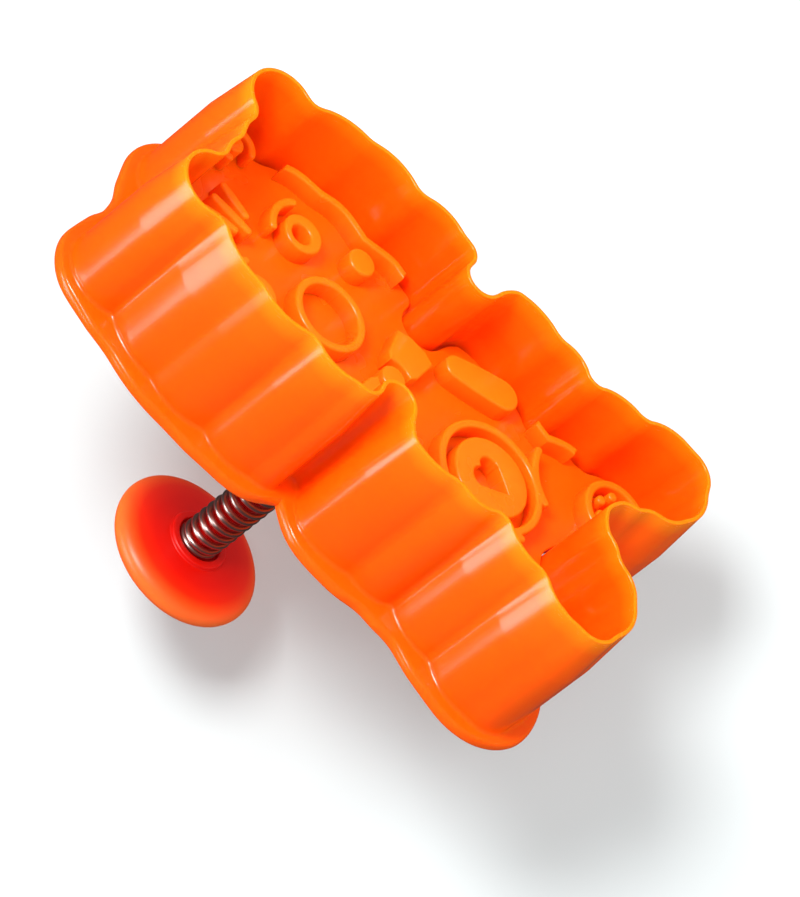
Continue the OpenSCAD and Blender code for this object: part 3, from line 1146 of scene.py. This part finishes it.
@dataclass
class ReturnSpring:
    """The compression spring, wound by a geometry tree."""

    coil_r: float = 2.8 * MM
    wire_r: float = 0.5 * MM
    pitch: float = 1.8 * MM
    closed: float = 1.25
    steps: int = 40
    sides: int = 14
    travel: float = 13.6 * MM

    def tree(self, length: float) -> tuple[bpy.types.NodeTree, dict[str, str]]:
        """The tree that winds the wire.

        Args:
            length: The spring's free length, which sets how many points the wire has.

        Returns:
            The tree, and its inputs' identifiers by name.
        """
        tree = bpy.data.node_groups.new("wound_spring", "GeometryNodeTree")
        names: dict[str, str] = {}
        lengths = ("Coil Radius", "Wire Radius", "Pitch", "Closed Coils", "Start Height", "Free Length")
        kinds = dict.fromkeys(lengths, "NodeSocketFloat") | {"Steel": "NodeSocketMaterial"}
        for name, kind in kinds.items():
            names[name] = tree.interface.new_socket(name, in_out="INPUT", socket_type=kind).identifier
        tree.interface.new_socket("Geometry", in_out="OUTPUT", socket_type="NodeSocketGeometry")
        wiring = Wiring(tree)
        given = tree.nodes.new("NodeGroupInput")
        value = {name: Term(wiring, given.outputs[name]) for name in names}
        wire_d = value["Wire Radius"] * 2.0
        closed = value["Closed Coils"]
        closed_pitch = wire_d * 1.03
        open_coils = (value["Free Length"] - wire_d - closed * closed_pitch * 2.0) / value["Pitch"]
        coils = open_coils + closed * 2.0
        count = self.steps * math.ceil(length / self.pitch + 2 * self.closed)
        line = wiring.node("GeometryNodeMeshLine", {}, {"Count": count})
        turn = wiring.node("GeometryNodeInputIndex") / float(count - 1) * coils
        angle = turn * (2 * math.pi)
        low = turn.at_most(closed) * closed_pitch
        middle = (turn - closed).at_least(0.0).at_most(open_coils) * value["Pitch"]
        high = (turn - closed - open_coils).at_least(0.0) * closed_pitch
        place = wiring.node(
            "ShaderNodeCombineXYZ",
            {},
            {
                "X": angle.cosine() * value["Coil Radius"],
                "Y": angle.sine() * value["Coil Radius"],
                "Z": value["Start Height"] + value["Wire Radius"] + low + middle + high,
            },
        )
        wound = wiring.node("GeometryNodeSetPosition", {}, {"Geometry": line, "Position": place})
        path = wiring.node("GeometryNodeMeshToCurve", {}, {"Mesh": wound})
        ring = wiring.node(
            "GeometryNodeCurvePrimitiveCircle", {}, {"Resolution": self.sides, "Radius": value["Wire Radius"]}
        )
        wire = wiring.node(
            "GeometryNodeCurveToMesh", {}, {"Curve": path, "Profile Curve": ring, "Fill Caps": True}
        )
        soft = wiring.node("GeometryNodeSetShadeSmooth", {}, {"Geometry": wire})
        real = wiring.node("GeometryNodeRealizeInstances", {}, {"Geometry": soft})
        dressed = wiring.node("GeometryNodeSetMaterial", {}, {"Geometry": real, "Material": value["Steel"]})
        leave = tree.nodes.new("NodeGroupOutput")
        wiring.feed(leave.inputs[0], dressed)
        return tree, names

    def build(self, material: bpy.types.Material) -> bpy.types.Object:
        """Winds and dresses the spring.

        Args:
            material: Its steel.

        Returns:
            The object.
        """
        low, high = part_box("return_spring")
        length = high.z - low.z
        tree, names = self.tree(length)
        inputs = {
            "Coil Radius": self.coil_r,
            "Wire Radius": self.wire_r,
            "Pitch": self.pitch,
            "Closed Coils": self.closed,
            "Start Height": low.z,
            "Free Length": length,
            "Steel": material,
        }
        spring = grown("return_spring_wire", tree, names, inputs)
        tidy_mesh(spring.data)
        smoothed(spring, 50.0)
        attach(spring, Body.CUTTER.value)
        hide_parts("return_spring")
        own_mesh(spring)
        return spring


def grown(
    name: str, tree: bpy.types.NodeTree, names: dict[str, str], inputs: dict[str, object]
) -> bpy.types.Object:
    """Runs a geometry tree and keeps its result as a plain mesh.

    Args:
        name: The object's name.
        tree: The tree.
        names: The inputs' identifiers by name.
        inputs: The inputs' values by name.

    Returns:
        The object.
    """
    holder = placed(name + "_tree", bpy.data.meshes.new(name + "_seed"))
    modifier = holder.modifiers.new("tree", "NODES")
    modifier.node_group = tree
    for key, value in inputs.items():
        modifier[names[key]] = value
    bpy.context.view_layer.update()
    mesh = bpy.data.meshes.new_from_object(holder.evaluated_get(bpy.context.evaluated_depsgraph_get()))
    mesh.name = name
    bpy.data.objects.remove(holder)
    return placed(name, mesh)


@dataclass
class Knob:
    """The round knob: a bowl, the cap that closes it and the screw inside."""

    radius: float = 12.3 * MM
    swell: float = 3.6 * MM
    edge_r: float = 2.0 * MM
    floor_t: float = 1.8 * MM
    seat: float = 1.0 * MM
    seat_r: float = 3.6 * MM
    hub_r: float = 4.85 * MM
    collar_h: float = 0.7 * MM
    dome_r: float = 41 * MM
    belly: float = 3.8 * MM
    lift: float = 0.3 * MM
    turn_up: float = 2.2 * MM
    stem_r: float = 2.0 * MM
    screw_r: float = 1.1 * MM
    cap_gap: float = 0.1 * MM
    cap_ledge: float = 0.9 * MM
    cap_rise: float = 2.4 * MM
    cap_t: float = 1.4 * MM
    steps: int = 24

    def __post_init__(self) -> None:
        """Works out the heights from the frame."""
        self.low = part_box("knob_body")[0].z
        self.rim_r = self.radius - self.edge_r
        self.rim_z = self.low + self.swell
        self.top = self.rim_z + self.edge_r
        self.cap_r = self.rim_r - 0.4 * MM
        self.ledge_z = self.top - self.cap_t
        self.stem_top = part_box("plunger_stem")[1].z
        self.centre_z = self.low + self.collar_h + math.sqrt(self.dome_r**2 - self.hub_r**2)

    def dome_z(self, radius: float, lift: float) -> float:
        """Height of the underside, or of the floor when lifted, at a radius."""
        return self.centre_z - math.sqrt((self.dome_r - lift) ** 2 - radius**2)

    def bowl(self) -> bpy.types.Object:
        """The knob's body."""
        bowl_r = self.cap_r + self.cap_gap - self.cap_ledge
        web_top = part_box("knob_screw")[1].z - 1.3 * MM
        foot = Vector((self.hub_r, self.low + self.collar_h))
        widest = Vector((self.radius, self.rim_z))
        leave = foot + Vector((self.belly, self.lift))
        arrive = widest - Vector((0.0, self.turn_up))
        under = []
        for k in range(1, self.steps + 1):
            t = k / self.steps
            near = (1 - t) ** 3 * foot + 3 * (1 - t) ** 2 * t * leave
            spot = near + 3 * (1 - t) * t**2 * arrive + t**3 * widest
            under.append((spot.x, spot.y, 0))
        rim = []
        for k in range(1, self.steps + 1):
            angle = math.pi / 2 * k / self.steps
            x = self.rim_r + self.edge_r * math.cos(angle)
            rim.append((x, self.rim_z + self.edge_r * math.sin(angle), 0))
        corners = [
            (self.seat_r, self.low, 0.25 * MM),
            (self.hub_r, self.low, 0.35 * MM),
            (self.hub_r, self.low + self.collar_h, 0.25 * MM),
            *under,
            *rim,
            (self.cap_r + self.cap_gap, self.top, 0.2 * MM),
            (self.cap_r + self.cap_gap, self.ledge_z, 0),
            (bowl_r, self.ledge_z, 0),
            (bowl_r, self.dome_z(bowl_r, self.floor_t), 0),
            (self.hub_r, self.dome_z(self.hub_r, self.floor_t), 0),
            (self.hub_r, web_top, 0),
            (self.screw_r, web_top, 0),
            (self.screw_r, self.stem_top, 0),
            (self.stem_r, self.stem_top, 0),
            (self.stem_r, self.low + self.seat, 0),
            (self.seat_r, self.low + self.seat, 0),
        ]
        return lathed("knob_bowl", corner_rounded(corners))

    def cap(self) -> bpy.types.Object:
        """The domed cap."""
        rise = self.cap_rise
        r = (self.cap_r**2 + rise**2) / (2 * rise)
        centre = self.top + rise - r
        inner_r = self.cap_r + self.cap_gap - self.cap_ledge
        outside = []
        for k in range(self.steps + 1):
            x = self.cap_r * k / self.steps
            outside.append((x, centre + math.sqrt(r * r - x * x), 0.25 * MM if k == self.steps else 0))
        inside = []
        for k in range(self.steps, -1, -1):
            x = inner_r * k / self.steps
            z = centre + math.sqrt((r - self.cap_t) ** 2 - x * x)
            inside.append((x, max(self.ledge_z + 0.01 * MM, z), 0))
        corners = [*outside, (self.cap_r, self.ledge_z, 0.1 * MM), (inner_r, self.ledge_z, 0), *inside]
        return lathed("knob_cap_dome", corner_rounded(corners))

    def build(self, plastic: bpy.types.Material, steel: bpy.types.Material) -> list[bpy.types.Object]:
        """Builds and dresses the knob.

        Args:
            plastic: Material of the body and the cap.
            steel: Material of the screw.

        Returns:
            The objects.
        """
        made = []
        for piece, node in ((self.bowl(), "knob_body"), (self.cap(), "knob_cap")):
            smoothed(piece, 30.0)
            piece.data.materials.append(plastic)
            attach(piece, Body.PLUNGER.value)
            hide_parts(node)
            made.append(piece)
        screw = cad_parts["knob_screw"]
        for holder in screw.material_slots:
            holder.material = steel
        made.append(screw)
        return made


# Studio


@dataclass(frozen=True)
class Lamp:
    """A soft box, placed as seen by the photograph's camera.

    Args:
        name: Its name.
        right: Share of its direction to the camera's right.
        up: Share upwards in the picture.
        front: Share towards the camera.
        distance: From the object's centre.
        size: Its width and height.
        power: Watts.
        in_gloss: Whether gloss reflects it.
    """

    name: str
    right: float
    up: float
    front: float
    distance: float
    size: Point2
    power: float
    in_gloss: bool = True


@dataclass
class Studio:
    """Camera, lamps, floor and backdrop."""

    azimuth: float = 100.6
    elevation: float = -38.0
    roll: float = -128.0
    distance: float = 0.9
    pixels_per_metre: float = 7180.0
    mouth_px: Point2 = (448.0, 343.0)
    behind: float = 0.055
    ambient: float = 0.55
    ambient_gloss: float = 0.05
    paper_colour: tuple[float, float, float, float] = (0.62, 0.665, 0.668, 1.0)
    centre: Vector = field(default_factory=lambda: Vector((0.0, 0.0, 0.02)))
    lamps: tuple[Lamp, ...] = (
        Lamp("key_box", -0.17, 0.44, 0.88, 0.9, (0.27, 0.27), 8.4),
        Lamp("mouth_box", 0.55, 0.45, 0.70, 1.0, (0.5, 0.5), 3.0, in_gloss=False),
        Lamp("window_box", -0.93, 0.05, 0.36, 0.6, (0.26, 0.34), 1.9),
        Lamp("fill_box", 0.80, -0.50, 0.34, 1.0, (0.6, 0.6), 2.6, in_gloss=False),
    )

    def __post_init__(self) -> None:
        """Works out the camera's axes."""
        a, e, r = (math.radians(v) for v in (self.azimuth, self.elevation, self.roll))
        self.back = Vector((math.sin(a) * math.cos(e), -math.cos(a) * math.cos(e), math.sin(e)))
        level = Vector((math.cos(a), math.sin(a), 0.0))
        upright = self.back.cross(level)
        self.right = math.cos(r) * level + math.sin(r) * upright
        self.up = self.back.cross(self.right)

    def turned(self, back: Vector) -> Matrix:
        """A rotation whose z axis is back and whose y axis is nearest to the picture's up."""
        right = self.up.cross(back).normalized()
        return Matrix((right, back.cross(right), back)).transposed()

    def looking(self, place: Vector, back: Vector) -> Matrix:
        """The matrix of a camera or lamp at a place, with its back turned to a direction."""
        return Matrix.Translation(place) @ self.turned(back).to_4x4()

    def camera(self) -> bpy.types.Object:
        """The camera at the photograph's viewing angle."""
        data = bpy.data.cameras.new("photo_camera")
        data.lens = data.sensor_width * self.distance * self.pixels_per_metre / max(IMAGE_W, IMAGE_H)
        made = placed("photo_camera", data)
        aside = (IMAGE_W / 2 - self.mouth_px[0]) / self.pixels_per_metre
        above = (self.mouth_px[1] - IMAGE_H / 2) / self.pixels_per_metre
        aim = aside * self.right + above * self.up
        made.matrix_world = self.looking(aim + self.back * self.distance, self.back)
        bpy.context.scene.camera = made
        return made

    def lamp(self, box: Lamp) -> bpy.types.Object:
        """One soft box."""
        data = bpy.data.lights.new(box.name, "AREA")
        data.shape = "RECTANGLE"
        data.size, data.size_y = box.size
        data.energy = box.power
        made = placed(box.name, data)
        towards = (box.right * self.right + box.up * self.up + box.front * self.back).normalized()
        made.matrix_world = self.looking(self.centre + towards * box.distance, towards)
        made.visible_glossy = box.in_gloss
        made.visible_camera = False
        return made

    def world(self) -> None:
        """White behind the object and a plain soft light on it."""
        world = bpy.data.worlds.new("studio_world")
        bpy.context.scene.world = world
        world.use_nodes = True
        wiring = Wiring(world.node_tree)
        seen = wiring.node("ShaderNodeLightPath", out="Is Camera Ray")
        gloss = wiring.node("ShaderNodeLightPath", out="Is Glossy Ray")
        strength = seen + (1.0 - seen) * (self.ambient - gloss * (self.ambient - self.ambient_gloss))
        light = wiring.node("ShaderNodeBackground", {}, {"Color": (1.0, 1.0, 1.0, 1.0), "Strength": strength})
        output = wiring.tree.nodes.new("ShaderNodeOutputWorld")
        wiring.feed(output.inputs["Surface"], light)

    def paper(self, name: str) -> bpy.types.Material:
        """White paper with the object's soft shadow, seen from its front only.

        Args:
            name: The material's name.

        Returns:
            The material.
        """
        made = bpy.data.materials.new(name)
        made.use_nodes = True
        wiring = Wiring(made.node_tree)
        white = wiring.node("ShaderNodeBsdfDiffuse", {}, {"Color": self.paper_colour})
        clear = wiring.node("ShaderNodeBsdfTransparent")
        hidden = wiring.node("ShaderNodeNewGeometry", out="Backfacing")
        both = wiring.node("ShaderNodeMixShader", {}, {0: hidden, 1: white, 2: clear})
        output = wiring.tree.nodes.new("ShaderNodeOutputMaterial")
        wiring.feed(output.inputs["Surface"], both)
        return made

    def sheet(self, name: str, place: Vector, facing: Vector, size: float) -> bpy.types.Object:
        """A square of paper that only the camera sees."""
        turn = self.turned(facing)
        square = ((-size, -size), (size, -size), (size, size), (-size, size))
        corners = [place + turn @ Vector((x, y, 0.0)) for x, y in square]
        mesh = bpy.data.meshes.new(name)
        mesh.from_pydata(corners, [], [(0, 1, 2, 3)])
        mesh.materials.append(self.paper(name + "_paper"))
        made = placed(name, mesh)
        for ray in ("diffuse", "glossy", "transmission", "volume_scatter", "shadow"):
            setattr(made, "visible_" + ray, False)
        return made

    def build(self) -> None:
        """Sets up the studio."""
        self.camera()
        self.world()
        for box in self.lamps:
            self.lamp(box)
        self.sheet("floor", Vector((0.0, 0.0, 0.0)), Vector((0.0, 0.0, 1.0)), 3.0)
        self.sheet("backdrop", -self.back * self.behind, self.back, 0.6)
        bpy.context.scene.view_settings.view_transform = "Standard"


def main() -> None:
    """Builds the studio and every piece."""
    logging.basicConfig(level=logging.INFO, format="%(name)s: %(message)s")
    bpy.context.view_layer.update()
    Studio().build()
    # Painted light and shade on the wall: lightest and most orange at the cutting edge, darkening up the wall
    # into the cavity as painted shade, a little lighter again at the flange.
    wall_lit_and_shaded_tones = (
        (0.0, (1.0, 0.24, 0.003)),
        (0.12, (1.0, 0.13, 0.0015)),
        (0.3, (1.0, 0.108, 0.0008)),
        (0.85, (1.0, 0.094, 0.0006)),
        (1.0, (1.0, 0.12, 0.002)),
    )
    orange = MouldedPlastic(
        "orange_wall_plastic", wall_lit_and_shaded_tones, Along.HEIGHT, (0.0, 27 * MM), 0.2, 0.5, 1.5 * MM, 3 * MM
    ).material()
    # Painted light on the relief tops nearest the mouth, fading to darker painted shade on the plate face and
    # its back.
    plate_lit_and_shaded_tones = ((0.0, (1.0, 0.19, 0.004)), (0.5, (1.0, 0.12, 0.001)), (1.0, (1.0, 0.12, 0.001)))
    relief = MouldedPlastic(
        "orange_plate_plastic", plate_lit_and_shaded_tones, Along.HEIGHT, (11 * MM, 16 * MM), 0.26, 0.5, 1.5 * MM
    ).material()
    # Redder plastic, with painted light on the rim and painted shade towards the axis; the stem, within 4 mm
    # of the axis, takes the deepest red as painted shade between the coils.
    knob_lit_and_shaded_tones = (
        (0.0, (0.78, 0.004, 0.0003)),
        (0.4, (0.82, 0.005, 0.0004)),
        (0.68, (0.90, 0.018, 0.001)),
        (0.86, (1.0, 0.085, 0.007)),
        (1.0, (1.0, 0.15, 0.016)),
    )
    red = MouldedPlastic(
        "red_knob_plastic", knob_lit_and_shaded_tones, Along.REACH, (4 * MM, 12.3 * MM), 0.38, 0.3, 2.0 * MM
    ).material()
    wire = BrightSteel("drawn_spring_wire", (0.62, 0.52, 0.49), 0.3, 3000.0).material()
    zinc = BrightSteel("zinc_plated_steel", (0.70, 0.71, 0.74), 0.3, 1500.0).material()
    builders: list[Callable[[], object]] = [
        lambda: CutterShell().build(orange),
        lambda: StampPlate().build(relief),
        lambda: PlungerStem().build(red),
        lambda: ReturnSpring().build(wire),
        lambda: Knob().build(red, zinc),
    ]
    for build in builders:
        result = build()
        for piece in result if isinstance(result, list) else [result]:
            log.info("%s: %d faces", piece.name, len(piece.data.polygons))


if __name__ == "__main__":
    main()
